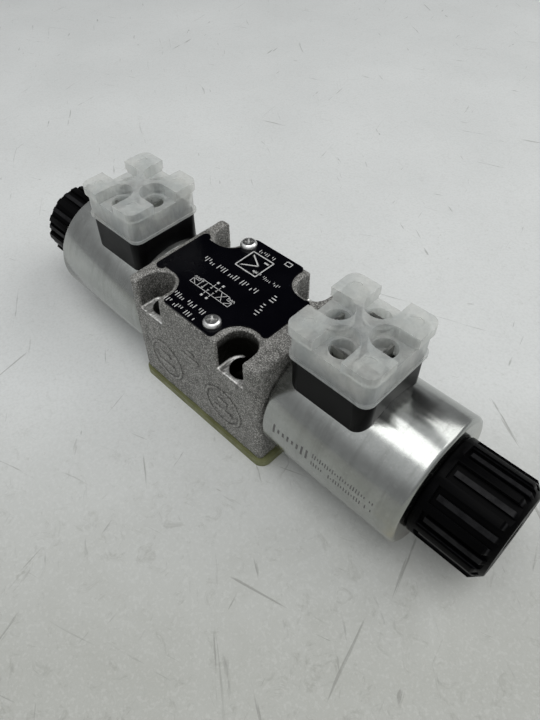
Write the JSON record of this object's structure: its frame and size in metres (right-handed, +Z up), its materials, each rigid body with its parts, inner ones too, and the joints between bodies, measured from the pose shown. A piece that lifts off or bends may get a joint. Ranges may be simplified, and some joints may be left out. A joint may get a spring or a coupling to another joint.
{
  "type": "solenoid directional valve",
  "caption": "Block-shaped hydraulic directional valve with a round solenoid coil, square connector under a clear cap and fluted nut at each end, on a flat transport plate.",
  "frame": {"origin": "centre of the bolt pattern on the mounting face", "axes": "+X along the spool towards solenoid b, +Y to the back, +Z up from the mounting face"},
  "size_m": [0.214, 0.0468, 0.069],
  "materials": {
    "cast_iron": "rough cast, machined seats",
    "nameplate_black": "satin black",
    "bright_steel": "zinc plated",
    "zinc_steel": "zinc plated, satin",
    "ground_steel": "ground",
    "spring_steel": "drawn wire",
    "soft_iron": "turned",
    "brass": "turned",
    "tin_contact": "tin plated",
    "copper_wire": "enamelled copper wire",
    "black_plastic": "moulded, satin",
    "nut_plastic": "moulded, fine grain",
    "milky_plastic": "translucent moulding",
    "olive_plastic": "translucent sheet",
    "seal_rubber": "smooth"
  },
  "bodies": {
    "valve": {"valve_body": "cast_iron", "nameplate": "nameplate_black", "nameplate_screws": "bright_steel", "port_seals": "seal_rubber", "core_tube_a": "zinc_steel", "core_tube_b": "zinc_steel", "tube_seal_a": "seal_rubber", "tube_seal_b": "seal_rubber", "tube_end_plug_a": "soft_iron", "tube_end_plug_b": "soft_iron", "override_seal_a": "seal_rubber", "override_seal_b": "seal_rubber", "spring_a": "spring_steel", "spring_b": "spring_steel"},
    "spool_set": {"spool": "ground_steel", "push_pin_a": "ground_steel", "push_pin_b": "ground_steel", "spring_seat_a": "bright_steel", "spring_seat_b": "bright_steel"},
    "plate": {"transport_plate": "olive_plastic"},
    "armature_set_a": {"armature_a": "soft_iron"},
    "override_a": {"override_pin_a": "brass"},
    "coil_a": {"coil_case_a": "zinc_steel", "coil_bobbin_a": "black_plastic", "coil_winding_a": "copper_wire", "coil_seal_a": "seal_rubber", "connector_base_a": "black_plastic", "contact_blades_a": "tin_contact"},
    "cap_a": {"connector_cap_a": "milky_plastic"},
    "nut_carrier_a": {"nut_seal_a": "seal_rubber"},
    "nut_a": {"coil_nut_a": "nut_plastic"},
    "armature_set_b": {"armature_b": "soft_iron"},
    "override_b": {"override_pin_b": "brass"},
    "coil_b": {"coil_case_b": "zinc_steel", "coil_bobbin_b": "black_plastic", "coil_winding_b": "copper_wire", "coil_seal_b": "seal_rubber", "connector_base_b": "black_plastic", "contact_blades_b": "tin_contact"},
    "cap_b": {"connector_cap_b": "milky_plastic"},
    "nut_carrier_b": {"nut_seal_b": "seal_rubber"},
    "nut_b": {"coil_nut_b": "nut_plastic"}
  },
  "joints": [
    {"name": "spool_slide", "type": "slide", "parent": "valve", "child": "spool_set", "axis": [1, 0, 0], "range_m": [-0.003, 0.003], "deforming": ["spring_a", "spring_b"]},
    {"name": "armature_a_slide", "type": "slide", "parent": "valve", "child": "armature_set_a", "axis": [1, 0, 0], "range_m": [-0.003, 0.003]},
    {"name": "override_a_push", "type": "slide", "parent": "valve", "child": "override_a", "axis": [1, 0, 0], "range_m": [0, 0.003]},
    {"name": "coil_a_turn", "type": "hinge", "parent": "valve", "child": "coil_a", "pos_m": [-0.05695, 0, 0.0227], "axis": [1, 0, 0], "range_deg": [-90, 90]},
    {"name": "cap_a_lift", "type": "slide", "parent": "coil_a", "child": "cap_a", "axis": [0, 0, 1], "range_m": [0, 0.03]},
    {"name": "nut_a_travel", "type": "slide", "parent": "valve", "child": "nut_carrier_a", "axis": [-1, 0, 0], "range_m": [0, 0.006]},
    {"name": "nut_a_turn", "type": "hinge", "parent": "nut_carrier_a", "child": "nut_a", "pos_m": [-0.09375, 0, 0.0227], "axis": [1, 0, 0], "range_deg": [0, 1440]},
    {"name": "armature_b_slide", "type": "slide", "parent": "valve", "child": "armature_set_b", "axis": [1, 0, 0], "range_m": [-0.003, 0.003]},
    {"name": "override_b_push", "type": "slide", "parent": "valve", "child": "override_b", "axis": [1, 0, 0], "range_m": [-0.003, 0]},
    {"name": "coil_b_turn", "type": "hinge", "parent": "valve", "child": "coil_b", "pos_m": [0.05945, 0, 0.0227], "axis": [1, 0, 0], "range_deg": [-90, 90]},
    {"name": "cap_b_lift", "type": "slide", "parent": "coil_b", "child": "cap_b", "axis": [0, 0, 1], "range_m": [0, 0.03]},
    {"name": "nut_b_travel", "type": "slide", "parent": "valve", "child": "nut_carrier_b", "axis": [1, 0, 0], "range_m": [0, 0.006]},
    {"name": "nut_b_turn", "type": "hinge", "parent": "nut_carrier_b", "child": "nut_b", "pos_m": [0.09625, 0, 0.0227], "axis": [-1, 0, 0], "range_deg": [0, 1440]},
    {"name": "plate_drop", "type": "slide", "parent": "valve", "child": "plate", "axis": [0, 0, -1], "range_m": [0, 0.03]}
  ],
  "couplings": [
    {"joint": "armature_a_slide", "follows": "spool_slide", "ratio": 1},
    {"joint": "nut_a_turn", "follows": "nut_a_travel", "rad_per_m": 4188.8},
    {"joint": "armature_b_slide", "follows": "spool_slide", "ratio": 1},
    {"joint": "nut_b_turn", "follows": "nut_b_travel", "rad_per_m": 4188.8}
  ]
}
